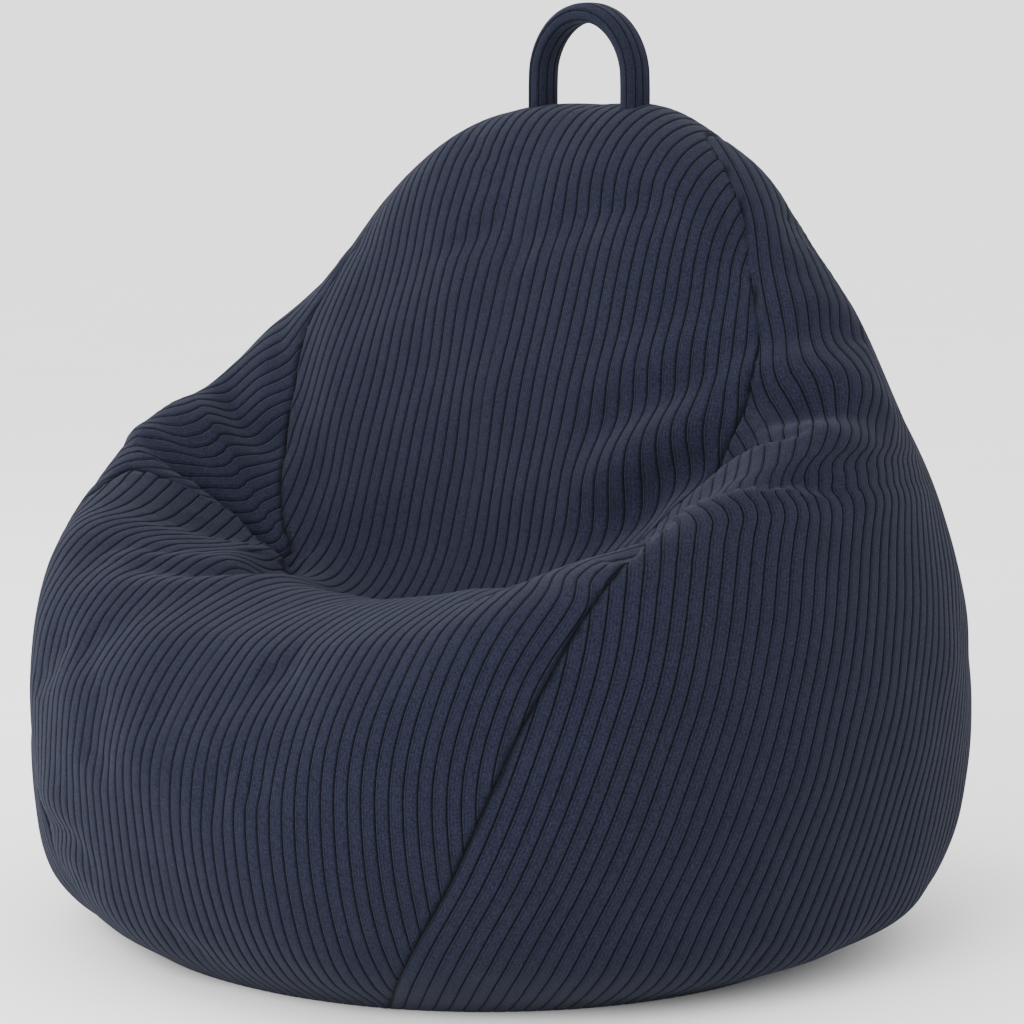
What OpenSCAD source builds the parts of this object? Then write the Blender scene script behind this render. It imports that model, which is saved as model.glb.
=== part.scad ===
// Bean bag chair: a padded teardrop bag with a hollowed seat, two low arms, a leaning back and a
// carrying loop on top. Three ribbed panels and a flat base make the cover, a zip closes its back,
// and a zipped inner liner holds the bead filling.
// The chair faces -Y and stands on Z = 0. The origin is the middle of the base panel's underside.

/* [Bag body] */
// Full width at the belly
bag_w = 880; // [840:5:920]
// Depth of the belly in front of the origin
front_d = 436; // [420:2:450]
// Depth of the belly behind the origin
back_d = 430; // [420:2:440]
// Height of the top of the bag
bag_h = 772; // [752:4:792]
// How far the head of the bag leans back
head_lean = 122; // [112:2:130]
// Squareness of the bag seen from above, 2 is round
plan_power = 2.05; // [2:0.05:2.2]

/* [Seat] */
// Height of the front lip of the seat
lip_h = 350; // [340:2:360]
// Distance of the lip in front of the origin
lip_y = 190; // [180:2:200]
// Depth of the sitting hollow behind the lip
hollow_d = 60; // [50:2:66]
// Rise of the arms above the lip
arm_rise = 84; // [76:2:92]
// Lean of the backrest, as a run for each unit of rise
back_lean = 0.22; // [0.2:0.01:0.24]

/* [Fabric] */
// Thickness of the ribbed cover
cover_t = 3; // [2.5:0.5:3.5]
// Thickness of the liner cloth
liner_t = 1; // [0.8:0.1:1.2]
// Depth of the liner under the cover's outside
liner_gap = 12; // [11:0.5:13]
// Depth of the filling under the cover's outside
fill_gap = 18; // [17:0.5:19]
// Open seam left between two cover panels
seam_gap = 0.6; // [0.4:0.1:0.8]

/* [Base] */
// Radius of the round base panel
base_r = 338; // [332:2:338]
// Thickness of the base panel
base_t = 2; // [1.6:0.2:2.2]

/* [Handle] */
// Width across the outside of the loop
handle_w = 134; // [126:2:142]
// Height of the loop above its pivot
handle_h = 81; // [78:1:86]
// Width of the padded strap, front to back
strap_w = 30; // [26:1:32]
// Thickness of the padded strap
strap_t = 18; // [16:1:20]
// Distance of the handle behind the origin
handle_y = 126; // [122:1:130]

/* [Zip] */
// Radius of the arc that the back seam follows
zip_r = 390; // [390:1:390]
// Angle of the lower end of the zip on that arc
zip_low = -18; // [-20:1:-16]
// Angle of the upper end of the zip on that arc
zip_high = 27; // [25:1:28]
// Width of each zip tape
tape_w = 14; // [12:1:16]
// Width of each row of coil
coil_w = 2.8; // [2.4:0.1:3]
// Length of the pull tab
pull_len = 28; // [24:1:32]

/* [Hidden] */

RIB_NAVY = [0.21, 0.23, 0.31];
DARK_NAVY = [0.13, 0.14, 0.2];
LINER_WHITE = [0.86, 0.86, 0.84];
NICKEL = [0.66, 0.67, 0.69];

// The back of the bag follows one arc below this height, and the zip runs along it.
arc_y = back_d - zip_r;
arc_z = 225;
wall_z = base_t + 0.4;         // lowest line of the walls
core = [0, 60, 150];           // every surface point is found along a ray from here
reach = 900;                   // longer than any such ray
ray_steps = 16;                // halvings along a ray

// Distance of the back arc behind the origin at height z.
function arc_back(z) = arc_y + sqrt(pow(zip_r, 2) - pow(z - arc_z, 2));

// One cross section of the plain teardrop: height, half width, depth in front and behind the
// section's own centre, and how far that centre leans back.
function section(h, w, f, b, lean) = [h * bag_h, w * bag_w / 2, f * front_d, b, lean * head_lean];
function low_section(h, w, f, lean) =
    section(h, w, f, arc_back(h * bag_h) - lean * head_lean, lean);

SECTIONS = [
    low_section(0, 0.79, 0.78, 0),
    low_section(0.052, 0.905, 0.904, 0),
    low_section(0.155, 0.977, 0.977, 0),
    low_section(0.291, 1, 1, 0),
    low_section(0.44, 0.977, 0.959, 0.016),
    low_section(0.583, 0.909, 0.853, 0.164),
    section(0.725, 0.786, 0.688, 0.5 * back_d, 0.475),
    section(0.855, 0.595, 0.505, 0.307 * back_d, 0.754),
    section(0.939, 0.432, 0.344, 0.228 * back_d, 0.918),
    section(1, 0.282, 0.206, 0.16 * back_d, 1)
];
LAST = len(SECTIONS) - 1;
SLOPES = [
    for (i = [0:LAST])
        let(a = SECTIONS[max(i - 1, 0)], b = SECTIONS[min(i + 1, LAST)]) (b - a) / (b[0] - a[0])
];

function clamp(x, lo, hi) = min(max(x, lo), hi);
function smooth_min(a, b, k) = let(h = clamp(0.5 + 0.5 * (b - a) / k, 0, 1)) b * (1 - h) + a * h - k * h * (1 - h);
function smooth_max(a, b, k) = -smooth_min(-a, -b, k);
function smooth_step(x) = let(t = clamp(x, 0, 1)) t * t * (3 - 2 * t);
function unit(v) = v / norm(v);

function section_index(z, i = 0) = (i >= LAST - 1 || z < SECTIONS[i + 1][0]) ? i : section_index(z, i + 1);
function section_at(z) =
    let(
        i = section_index(z),
        h = SECTIONS[i + 1][0] - SECTIONS[i][0],
        t = clamp((z - SECTIONS[i][0]) / h, 0, 1)
    )
    (2 * t * t * t - 3 * t * t + 1) * SECTIONS[i] + (t * t * t - 2 * t * t + t) * h * SLOPES[i]
    + (3 * t * t - 2 * t * t * t) * SECTIONS[i + 1] + (t * t * t - t * t) * h * SLOPES[i + 1];

// The plain teardrop: negative inside, about millimetres near the surface.
crown_blend = 70;
function teardrop(p) =
    let(
        s = section_at(p[2]),
        dy = p[1] - s[4],
        r = pow(pow(abs(p[0]) / s[1], plan_power) + pow(abs(dy) / (dy < 0 ? s[2] : s[3]), plan_power), 1 / plan_power)
    )
    smooth_max((r - 1) * min(s[1], 250), p[2] - bag_h, crown_blend);

// Height of the seat surface: a lip in front, arms at the sides and a hollow in the middle.
arm_x = 332;
function seat_z(x, y) =
    let(
        ahead = min(y + lip_y, 0),
        behind = clamp((y + lip_y) / 200, 0, 2),
        arms = arm_rise * pow(abs(x) / arm_x, 2.8) * (1 + 0.5 * behind)
    )
    lip_h - 0.0012 * ahead * ahead + arms - hollow_d * exp(-pow(x / 230, 2) - pow((y + 70) / 115, 2));

// Distance of the backrest behind the origin, rounded towards its sides higher up.
function backrest_y(x, z) =
    let(rise = max(z - 350, -60), round_off = 55 * clamp((z - 380) / 250, 0, 1))
    -54 + back_lean * rise + 0.0002 * rise * rise + round_off * pow(x / 300, 2);

// The whole bag: the teardrop without the space over the seat and in front of the backrest.
function bag_field(p) =
    let(
        over_seat = (p[2] - seat_z(p[0], p[1])) * 0.9,
        before_back = (backrest_y(p[0], p[2]) - p[1]) * 0.88
    )
    smooth_max(teardrop(p), smooth_min(over_seat, before_back, 80), 60);

function ray_length(from, dir, lo = 0, hi = reach, n = ray_steps) =
    let(mid = (lo + hi) / 2)
    n == 0 ? mid
    : bag_field(from + dir * mid) < 0 ? ray_length(from, dir, mid, hi, n - 1)
    : ray_length(from, dir, lo, mid, n - 1);
function outward(p) =
    let(f = bag_field(p))
    unit([bag_field(p + [1, 0, 0]) - f, bag_field(p + [0, 1, 0]) - f, bag_field(p + [0, 0, 1]) - f]);
// A point of the surface along dir from the core, moved inwards by each depth in turn.
function skin_points(dir, depths) =
    let(p = core + dir * ray_length(core, dir), n = outward(p))
    [for (d = depths) let(q = p - n * d) [q[0], q[1], max(q[2], wall_z)]];

// Directions from the core: yaw turns from the front (-Y) towards +X, dip is measured from +Z.
function yaw_dip(yaw, dip) = [sin(dip) * sin(yaw), -sin(dip) * cos(yaw), cos(dip)];
// Directions on the fan of planes through the X axis: pitch from the front up, swing towards +X.
function pitch_swing(pitch, swing) = [sin(swing), -cos(swing) * cos(pitch), cos(swing) * sin(pitch)];
function dip_of(v) = acos(v[2] / norm(v));
function yaw_of(v) = atan2(v[0], -v[1]);

// Dip of the walls' lowest line at each yaw.
function rim_dip(yaw) =
    let(r = ray_length([core[0], core[1], wall_z], [sin(yaw), -cos(yaw), 0]))
    90 + atan((core[2] - wall_z) / r);

// The long seam between the front panel and a side panel: pitch, swing, and the dip at which the
// same row of the side panel reaches the back seam.
SEAM = [
    [-21, 22, 118], [-15, 25, 109], [0, 33, 90], [20, 38.5, 70], [40, 41.6, 56], [48, 42.8, 53],
    [49.6, 42.6, 52.2], [50.6, 40.5, 51.6], [51.4, 37.6, 51], [52.4, 36.4, 50.3], [54.5, 37.2, 49.4],
    [58, 39, 47.8], [66, 40.6, 45], [75, 40, 41], [86, 35, 34], [92, 24, 29], [96, 14, 24],
    [99, 13.4, 20], [102, 11.2, 17.8], [104.5, 7.4, 16.7], [105.6, 3.9, 16.2], [106, 0, 16]
];
function seam_swing(pitch) = lookup(pitch, [for (s = SEAM) [s[0], s[1]]]);
function seam_back_dip(pitch) = lookup(pitch, [for (s = SEAM) [s[0], s[2]]]);

// 1 at the floor and 0 from the middle of the belly up: rows follow the floor line, then level out.
function floor_share(pitch) = 1 - smooth_step((pitch - SEAM[0][0]) / 40);

ROW_PITCH = concat(
    [for (p = [-21:4.6:39.2]) p],
    [43, 46, 48, 49.6, 50.6, 51.4, 52.4, 54.5, 58, 62],
    [for (p = [66:3:84]) p],
    [86, 88, 90, 92, 94, 96, 99, 102, 104.5, 105.6, 105.95]
);
FRONT_COLS = 26;
SIDE_COLS = 30;
typical_ray = 600;              // typical distance of the cover from the core
// Share of an arc of that many degrees which half the open seam takes.
function trim_share(degrees) = seam_gap / 2 / (typical_ray * degrees * PI / 180);

// Direction of the front panel at a pitch, with s from -1 at the left seam to 1 at the right seam.
// Rows near the tip of the tongue are dropped a little, to keep that seam open.
tongue_drop = 0.08;
function front_dir(pitch, s) =
    let(
        swing = seam_swing(pitch),
        fan = pitch_swing(pitch - tongue_drop * smooth_step((pitch - 84) / 6), s * swing),
        edge = pitch_swing(pitch, swing),
        yaw = s * yaw_of(edge),
        low = yaw_dip(yaw, dip_of(edge) + rim_dip(yaw) - rim_dip(yaw_of(edge))),
        share = floor_share(pitch)
    )
    share > 0 ? unit(fan * (1 - share) + low * share) : fan;

// Direction of the right side panel at a pitch, with s from 0 at the front seam to 1 at the back.
function side_dir(pitch, s) =
    let(
        edge = pitch_swing(pitch, seam_swing(pitch)),
        yaw0 = yaw_of(edge),
        yaw = yaw0 + (180 - yaw0) * s,
        dip = dip_of(edge) * (1 - s) + seam_back_dip(pitch) * s,
        low = rim_dip(yaw) - rim_dip(yaw0) * (1 - s) - rim_dip(180) * s,
        share = floor_share(pitch)
    )
    yaw_dip(yaw, share > 0 ? dip + share * low : dip);

// Closed shell from rows of [outer, inner] point pairs, lowest row first, each row turning from
// front to back on the +X side. With a pole the last row is a single point.
module shell(rows, pole = false) {
    m = len(rows);
    n = len(rows[0]);
    points = [for (k = [0:1]) for (row = rows) for (pair = row) pair[k]];
    function at(i, j, k) = k * m * n + i * n + (pole && i == m - 1 ? 0 : j);
    function quad(a, b, c, d) = [[a, b, c], [a, c, d]];
    function is_face(f) = f[0] != f[1] && f[1] != f[2] && f[2] != f[0];
    function skin(i, j, k) = k == 0
        ? quad(at(i, j, 0), at(i + 1, j, 0), at(i + 1, j + 1, 0), at(i, j + 1, 0))
        : quad(at(i, j, 1), at(i, j + 1, 1), at(i + 1, j + 1, 1), at(i + 1, j, 1));
    function low_end(j) = quad(at(0, j, 0), at(0, j + 1, 0), at(0, j + 1, 1), at(0, j, 1));
    function high_end(j) = let(i = m - 1) quad(at(i, j, 0), at(i, j, 1), at(i, j + 1, 1), at(i, j + 1, 0));
    function first_side(i) = quad(at(i, 0, 0), at(i, 0, 1), at(i + 1, 0, 1), at(i + 1, 0, 0));
    function last_side(i) =
        let(j = n - 1) quad(at(i, j, 0), at(i + 1, j, 0), at(i + 1, j, 1), at(i, j, 1));
    faces = concat(
        [for (i = [0:m - 2]) for (j = [0:n - 2]) for (k = [0:1]) each skin(i, j, k)],
        [for (j = [0:n - 2]) each concat(low_end(j), high_end(j))],
        [for (i = [0:m - 2]) each concat(first_side(i), last_side(i))]
    );
    polyhedron(points, [for (f = faces) if (is_face(f)) f], convexity = 6);
}

// Cover panels
function front_row(pitch) =
    let(last = 1 - trim_share(seam_swing(pitch)))
    [for (j = [0:FRONT_COLS]) skin_points(front_dir(pitch, last * (2 * j / FRONT_COLS - 1)), [0, cover_t])];

module front_panel() {
    color(RIB_NAVY)
        shell([for (pitch = ROW_PITCH) front_row(pitch)]);
}

// The back edges of the side panels part around the zip and nearly meet above and below it.
zip_opening = 6.5;
fade_deg = 6;
function arc_dip(angle) =
    let(z = arc_z + zip_r * sin(angle)) dip_of([0, arc_back(z) - core[1], z - core[2]]);
function back_gap(pitch) =
    let(
        dip = seam_back_dip(pitch),
        above_low = smooth_step((arc_dip(zip_low) - dip) / fade_deg + 1.5),
        below_high = smooth_step((dip - arc_dip(zip_high)) / fade_deg + 1.5)
    )
    seam_gap / 2 + (zip_opening - seam_gap / 2) * above_low * below_high;

back_ray = 360;                 // distance of the back seam from the core
function side_row(pitch) =
    let(
        yaw_span = 180 - yaw_of(pitch_swing(pitch, seam_swing(pitch))),
        first = trim_share(yaw_span),
        last = 1 - back_gap(pitch) / (back_ray * yaw_span * PI / 180)
    )
    [for (j = [0:SIDE_COLS])
        skin_points(side_dir(pitch, first + (last - first) * j / SIDE_COLS), [0, cover_t])];

module right_side_panel() {
    color(RIB_NAVY)
        shell([for (pitch = ROW_PITCH) side_row(pitch)]);
}

module left_side_panel() {
    mirror([1, 0, 0])
        right_side_panel();
}

module base_panel() {
    color(DARK_NAVY)
        cylinder(h = base_t, r = base_r, $fn = 96);
}

// Liner: two halves that meet at the sides, hemmed in to a round floor.
LINER_DIPS = [110, 104, 96, 88, 80, 72, 64, 57, 50, 44, 38, 32, 26, 20, 14, 8, 0];
LINER_COLS = 18;
liner_floor = wall_z + 5;
liner_base_r = base_r - liner_gap - 26;

// Direction of the liner's row: level high up, following the floor line low down.
function liner_dir(yaw, dip) =
    yaw_dip(yaw, dip + (rim_dip(yaw) - LINER_DIPS[0]) * smooth_step((dip - 60) / 50));
function liner_hem(yaw) = [
    for (r = [liner_base_r, liner_base_r - liner_t])
        [r * sin(yaw), -r * cos(yaw), liner_floor + 0.4 + liner_base_r - r]
];

module liner_half(first_yaw) {
    yaws = [for (j = [0:LINER_COLS]) first_yaw + clamp(180 * j / LINER_COLS, 0.05, 179.95)];
    wall = [
        for (dip = LINER_DIPS)
            [for (yaw = yaws) skin_points(liner_dir(yaw, dip), [liner_gap, liner_gap + liner_t])]
    ];
    color(LINER_WHITE)
        shell(concat([[for (yaw = yaws) liner_hem(yaw)]], wall), pole = true);
}

module liner_front() {
    liner_half(-90);
}

module liner_back() {
    liner_half(90);
}

module liner_base() {
    color(LINER_WHITE)
        translate([0, 0, liner_floor - liner_t])
            cylinder(h = liner_t, r = liner_base_r, $fn = 96);
}

// Filling: one soft mass on the liner's own grid, with a point at the top and a flat floor.
module bead_fill() {
    floor_z = liner_floor + 0.4;
    cols = 2 * LINER_COLS;
    m = len(LINER_DIPS) - 1;
    function at(i, j) = i * cols + j % cols;
    function fill_point(dip, yaw) =
        let(p = skin_points(liner_dir(yaw, dip), [fill_gap])[0]) [p[0], p[1], max(p[2], floor_z)];
    rows = [for (i = [0:m - 1]) [for (j = [0:cols - 1]) fill_point(LINER_DIPS[i], 360 * j / cols)]];
    points = concat([for (row = rows) each row], [[0, 0, floor_z], fill_point(0, 0)]);
    floor_middle = m * cols;
    faces = concat(
        [for (j = [0:cols - 1]) [floor_middle, at(0, j), at(0, j + 1)]],
        [
            for (i = [0:m - 2]) for (j = [0:cols - 1])
                each [[at(i, j), at(i + 1, j), at(i + 1, j + 1)], [at(i, j), at(i + 1, j + 1), at(i, j + 1)]]
        ],
        [for (j = [0:cols - 1]) [floor_middle + 1, at(m - 1, j + 1), at(m - 1, j)]]
    );
    color("white")
        polyhedron(points, faces, convexity = 6);
}

// Handle: a padded loop that flops about the X axis where it is sewn to the top.
handle_mid = (handle_w - strap_t) / 2;
top_under_handle = ray_length([handle_mid, handle_y, 0], [0, 0, 1]);
pivot_z = top_under_handle + strap_w / 2 + 2;
strap_round = 6;
core_margin = 3.5;
flop_deg = 60;                  // how far the loop flops to either side
// Depth under the pivot of the sewn ends' tops, where the flopped strap's side leaves its round end.
cradle_drop = strap_w / 2 * sin(flop_deg);

// Cross section of the strap, across its thickness (X) and its width (Y), with round corners.
module strap_section(thick, wide, round_r) {
    square([thick - 2 * round_r, wide], center = true);
    square([thick, wide - 2 * round_r], center = true);
    for (x = [-1, 1], y = [-1, 1])
        translate([x * (thick / 2 - round_r), y * (wide / 2 - round_r)])
            circle(r = round_r, $fn = 32);
}

module loop(thick, wide, round_r) {
    leg = handle_h - handle_w / 2;
    translate([0, handle_y, pivot_z]) {
        translate([0, 0, leg])
            rotate([90, 0, 0])
                rotate_extrude(angle = 180, $fn = 72)
                    translate([handle_mid, 0])
                        strap_section(thick, wide, round_r);
        for (side = [-1, 1])
            translate([side * handle_mid, 0, 0]) {
                linear_extrude(leg)
                    strap_section(thick, wide, round_r);
                rotate([0, 90, 0])
                    cylinder(h = thick, r = wide / 2, center = true, $fn = 48);
            }
    }
}

module handle_strap() {
    color(RIB_NAVY)
        difference() {
            loop(strap_t, strap_w, strap_round);
            loop(strap_t - 2 * core_margin + 0.2, strap_w - 2 * core_margin + 0.2, strap_round - core_margin);
        }
}

module handle_core() {
    color(DARK_NAVY)
        loop(strap_t - 2 * core_margin, strap_w - 2 * core_margin, strap_round - core_margin);
}

// The sewn end of a strap, a cradle under the loop's round end, and the patch that backs it.
patch_depth = 9;
module handle_end(side) {
    bottom = top_under_handle - patch_depth;
    color(RIB_NAVY)
        difference() {
            translate([side * handle_mid - strap_t / 2, handle_y - strap_w / 2, bottom])
                cube([strap_t, strap_w, pivot_z - cradle_drop - bottom]);
            translate([side * handle_mid, handle_y, pivot_z])
                rotate([0, 90, 0])
                    cylinder(h = strap_t + 2, r = strap_w / 2 + 0.5, center = true, $fn = 48);
        }
}

module handle_end_left() {
    handle_end(-1);
}

module handle_end_right() {
    handle_end(1);
}

module handle_patch(side) {
    patch_w = strap_t + 6;
    patch_d = strap_w + 4;
    patch_t = 1.5;
    color(DARK_NAVY)
        translate([side * handle_mid - patch_w / 2, handle_y - patch_d / 2, top_under_handle - patch_depth - patch_t])
            cube([patch_w, patch_d, patch_t]);
}

module handle_patch_left() {
    handle_patch(-1);
}

module handle_patch_right() {
    handle_patch(1);
}

// Zip: bands on the back arc, from radius r_in to r_out and from x0 to x1.
module arc_band(r_in, r_out, x0, x1, low = zip_low, high = zip_high) {
    translate([0, arc_y, arc_z])
        rotate([0, 90, 0])
            rotate([0, 0, 90 + low])
                rotate_extrude(angle = high - low, $fn = 360)
                    translate([r_in, x0])
                        square([r_out - r_in, x1 - x0]);
}

// Children drawn around the origin move to the arc: +Y points outwards, +Z up along the arc.
module on_arc(angle) {
    translate([0, arc_y, arc_z])
        rotate([angle, 0, 0])
            children();
}

tape_t = 0.8;
tape_out = zip_r - cover_t - 1.8;
coil_t = 1.8;
coil_gap = 0.4;
run_gap = 0.4;
slider_len = 14;
slider_angle = zip_high - 2.2;
slider_top = tape_out + coil_t + run_gap + 1.4;
slider_half = coil_w + coil_gap + run_gap + 1;

module zip_tape_right() {
    color(DARK_NAVY)
        arc_band(tape_out - tape_t, tape_out, coil_gap / 2, tape_w);
}

module zip_tape_left() {
    mirror([1, 0, 0])
        zip_tape_right();
}

module zip_coil_right() {
    color(DARK_NAVY)
        arc_band(tape_out, tape_out + coil_t, coil_gap / 2, coil_gap / 2 + coil_w, zip_low + 0.8, zip_high - 0.8);
}

module zip_coil_left() {
    mirror([1, 0, 0])
        zip_coil_right();
}

module zip_stop(low, high) {
    half = coil_gap / 2 + coil_w;
    color(NICKEL)
        arc_band(tape_out, tape_out + coil_t + 0.6, -half, half, low, high);
}

module zip_stop_low() {
    zip_stop(zip_low + 0.1, zip_low + 0.7);
}

module zip_stop_high() {
    zip_stop(zip_high - 0.7, zip_high - 0.1);
}

// A slider: a plate over the coils with a skirt down each side.
module slider(coil_top, plate_top, half) {
    skirt = 1;
    skirt_bottom = coil_top - coil_t + run_gap;
    on_arc(slider_angle) {
        translate([-half, coil_top + run_gap, -slider_len / 2])
            cube([2 * half, plate_top - coil_top - run_gap, slider_len]);
        for (x = [-half, half - skirt])
            translate([x, skirt_bottom, -slider_len / 2])
                cube([skirt, coil_top + run_gap - skirt_bottom + 0.1, slider_len]);
    }
}

pin_r = 0.9;
pin_z = 4;
pin_out = slider_top + 1.9;
module zip_slider() {
    post_w = 1.2;
    color(NICKEL) {
        slider(tape_out + coil_t, slider_top, slider_half);
        on_arc(slider_angle) {
            for (x = [-slider_half, slider_half - post_w])
                translate([x, slider_top - 0.1, pin_z - 1.8])
                    cube([post_w, 3.2, 3.6]);
            translate([0, pin_out, pin_z])
                rotate([0, 90, 0])
                    cylinder(h = 2 * slider_half - 1, r = pin_r, center = true, $fn = 24);
        }
    }
}

module zip_pull() {
    half = slider_half - 1.2 - run_gap;
    tab_t = 1.4;
    eye_r = pin_r + 0.25;
    color(NICKEL)
        on_arc(slider_angle)
            difference() {
                union() {
                    translate([-half, pin_out - tab_t / 2, pin_z - pull_len])
                        cube([2 * half, tab_t, pull_len]);
                    translate([0, pin_out, pin_z])
                        rotate([0, 90, 0])
                            cylinder(h = 2 * half, r = eye_r + 0.55, center = true, $fn = 32);
                }
                translate([0, pin_out, pin_z])
                    rotate([0, 90, 0])
                        cylinder(h = 2 * half + 2, r = eye_r, center = true, $fn = 32);
                translate([-half / 2, pin_out - tab_t, pin_z - pull_len + 3])
                    cube([half, 2 * tab_t, 9]);
            }
}

// Liner zip: the same arc, further in, with a slider that has no pull.
liner_out = zip_r - liner_gap;
liner_tape_t = 0.6;
liner_tape_out = liner_out + 0.5 + liner_tape_t;
module liner_zip_tape() {
    color(LINER_WHITE)
        arc_band(liner_tape_out - liner_tape_t, liner_tape_out, -tape_w, tape_w, zip_low + 2, zip_high);
}

module liner_zip_coil() {
    half = coil_gap / 2 + coil_w;
    color(LINER_WHITE)
        arc_band(liner_tape_out, liner_tape_out + coil_t, -half, half, zip_low + 3, zip_high - 1);
}

module liner_zip_slider() {
    coil_top = liner_tape_out + coil_t;
    color(NICKEL)
        slider(coil_top, coil_top + run_gap + 1.2, slider_half);
}

front_panel();
right_side_panel();
left_side_panel();
base_panel();
handle_strap();
handle_core();
handle_end_left();
handle_end_right();
handle_patch_left();
handle_patch_right();
zip_tape_left();
zip_tape_right();
zip_coil_left();
zip_coil_right();
zip_stop_low();
zip_stop_high();
zip_slider();
zip_pull();
liner_front();
liner_back();
liner_base();
liner_zip_tape();
liner_zip_coil();
liner_zip_slider();
bead_fill();
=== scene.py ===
"""Looks of the bean bag chair: ribbed panels, seams, folds, handle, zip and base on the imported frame."""

import math

import bpy
import numpy as np
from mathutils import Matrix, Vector


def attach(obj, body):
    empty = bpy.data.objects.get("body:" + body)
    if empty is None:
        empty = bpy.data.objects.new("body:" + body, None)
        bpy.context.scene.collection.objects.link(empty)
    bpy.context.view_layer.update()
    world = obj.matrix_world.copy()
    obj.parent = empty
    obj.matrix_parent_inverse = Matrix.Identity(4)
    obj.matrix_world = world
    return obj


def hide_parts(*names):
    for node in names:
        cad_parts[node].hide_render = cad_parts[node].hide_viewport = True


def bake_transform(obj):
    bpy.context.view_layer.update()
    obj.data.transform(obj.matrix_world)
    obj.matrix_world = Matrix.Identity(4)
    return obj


MM = 0.001

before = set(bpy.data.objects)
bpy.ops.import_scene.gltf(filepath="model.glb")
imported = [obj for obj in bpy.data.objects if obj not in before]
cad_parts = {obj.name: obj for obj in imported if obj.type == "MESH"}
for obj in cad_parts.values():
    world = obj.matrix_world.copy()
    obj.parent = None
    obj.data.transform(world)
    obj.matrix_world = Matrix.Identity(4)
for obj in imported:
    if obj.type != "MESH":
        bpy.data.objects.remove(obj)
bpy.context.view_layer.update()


# Camera: at the viewing angle of the reference, aimed at the middle of the bag.

CAMERA_AZIMUTH = math.radians(42.0)
CAMERA_ELEVATION = math.radians(8.0)
CAMERA_DISTANCE = 3.5
CAMERA_LENS = 130.4
CAMERA_TARGET = Vector((0, 0, 0.380))
CAMERA_OFFSET_RIGHT = 0.0113
CAMERA_OFFSET_UP = 0.0133


def add_camera():
    sin_a, cos_a = math.sin(CAMERA_AZIMUTH), math.cos(CAMERA_AZIMUTH)
    sin_e, cos_e = math.sin(CAMERA_ELEVATION), math.cos(CAMERA_ELEVATION)
    away = Vector((sin_a * cos_e, -cos_a * cos_e, sin_e))
    right = Vector((cos_a, sin_a, 0))
    up = away.cross(right)
    data = bpy.data.cameras.new("camera")
    data.lens = CAMERA_LENS
    data.sensor_width = 36.0
    camera = bpy.data.objects.new("camera", data)
    bpy.context.scene.collection.objects.link(camera)
    aim = CAMERA_TARGET + right * CAMERA_OFFSET_RIGHT + up * CAMERA_OFFSET_UP
    camera.location = aim + away * CAMERA_DISTANCE
    camera.rotation_euler = away.to_track_quat("Z", "Y").to_euler()
    bpy.context.scene.camera = camera


add_camera()


# The bag's surface, in millimetres. These are the values of part.scad.

BAG_W, FRONT_D, BACK_D, BAG_H, HEAD_LEAN, PLAN_POWER = 880.0, 436.0, 430.0, 772.0, 122.0, 2.05
LIP_H, LIP_Y, HOLLOW_D, ARM_RISE, BACK_LEAN, ARM_X = 350.0, 190.0, 60.0, 84.0, 0.22, 332.0
ZIP_R, ARC_Y, ARC_Z = 390.0, 40.0, 225.0
CORE = np.array([0.0, 60.0, 150.0])  # every surface point is found along a ray from here
REACH = 900.0  # longer than any such ray
# How far the parts of the surface run into one another: at the crown, where the seat meets the
# backrest, and at the rim of that hollow.
CROWN_BLEND, SEAT_BLEND, RIM_BLEND = 70, 80, 60


def arc_back(z):
    """Distance of the back arc behind the origin at height z."""
    return ARC_Y + np.sqrt(ZIP_R**2 - (z - ARC_Z) ** 2)


def low_section(h, w, f, lean):
    return [h * BAG_H, w * BAG_W / 2, f * FRONT_D, arc_back(h * BAG_H) - lean * HEAD_LEAN, lean * HEAD_LEAN]


def high_section(h, w, f, b, lean):
    return [h * BAG_H, w * BAG_W / 2, f * FRONT_D, b * BACK_D, lean * HEAD_LEAN]


SECTIONS = np.array(
    [
        low_section(0, 0.79, 0.78, 0),
        low_section(0.052, 0.905, 0.904, 0),
        low_section(0.155, 0.977, 0.977, 0),
        low_section(0.291, 1, 1, 0),
        low_section(0.44, 0.977, 0.959, 0.016),
        low_section(0.583, 0.909, 0.853, 0.164),
        high_section(0.725, 0.786, 0.688, 0.5, 0.475),
        high_section(0.855, 0.595, 0.505, 0.307, 0.754),
        high_section(0.939, 0.432, 0.344, 0.228, 0.918),
        high_section(1, 0.282, 0.206, 0.16, 1),
    ]
)


def hermite(x, table):
    """Smooth curve through the rows [x, y...] of a table, held flat beyond its ends."""
    xs, ys = table[:, 0], table[:, 1:]
    rise = np.vstack([ys[1:2] - ys[:1], ys[2:] - ys[:-2], ys[-1:] - ys[-2:-1]])
    run = np.concatenate([[xs[1] - xs[0]], xs[2:] - xs[:-2], [xs[-1] - xs[-2]]])
    slope = rise / run[:, None]
    i = np.clip(np.searchsorted(xs, x, side="right") - 1, 0, len(xs) - 2)
    h = xs[i + 1] - xs[i]
    t = np.clip((x - xs[i]) / h, 0, 1)[..., None]
    h = h[..., None]
    return (
        (2 * t**3 - 3 * t**2 + 1) * ys[i]
        + (t**3 - 2 * t**2 + t) * h * slope[i]
        + (3 * t**2 - 2 * t**3) * ys[i + 1]
        + (t**3 - t**2) * h * slope[i + 1]
    )


def smooth_min(a, b, k):
    h = np.clip(0.5 + 0.5 * (b - a) / k, 0, 1)
    return b * (1 - h) + a * h - k * h * (1 - h)


def smooth_max(a, b, k):
    return -smooth_min(-a, -b, k)


def smooth_step(x):
    t = np.clip(x, 0, 1)
    return t * t * (3 - 2 * t)


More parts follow.
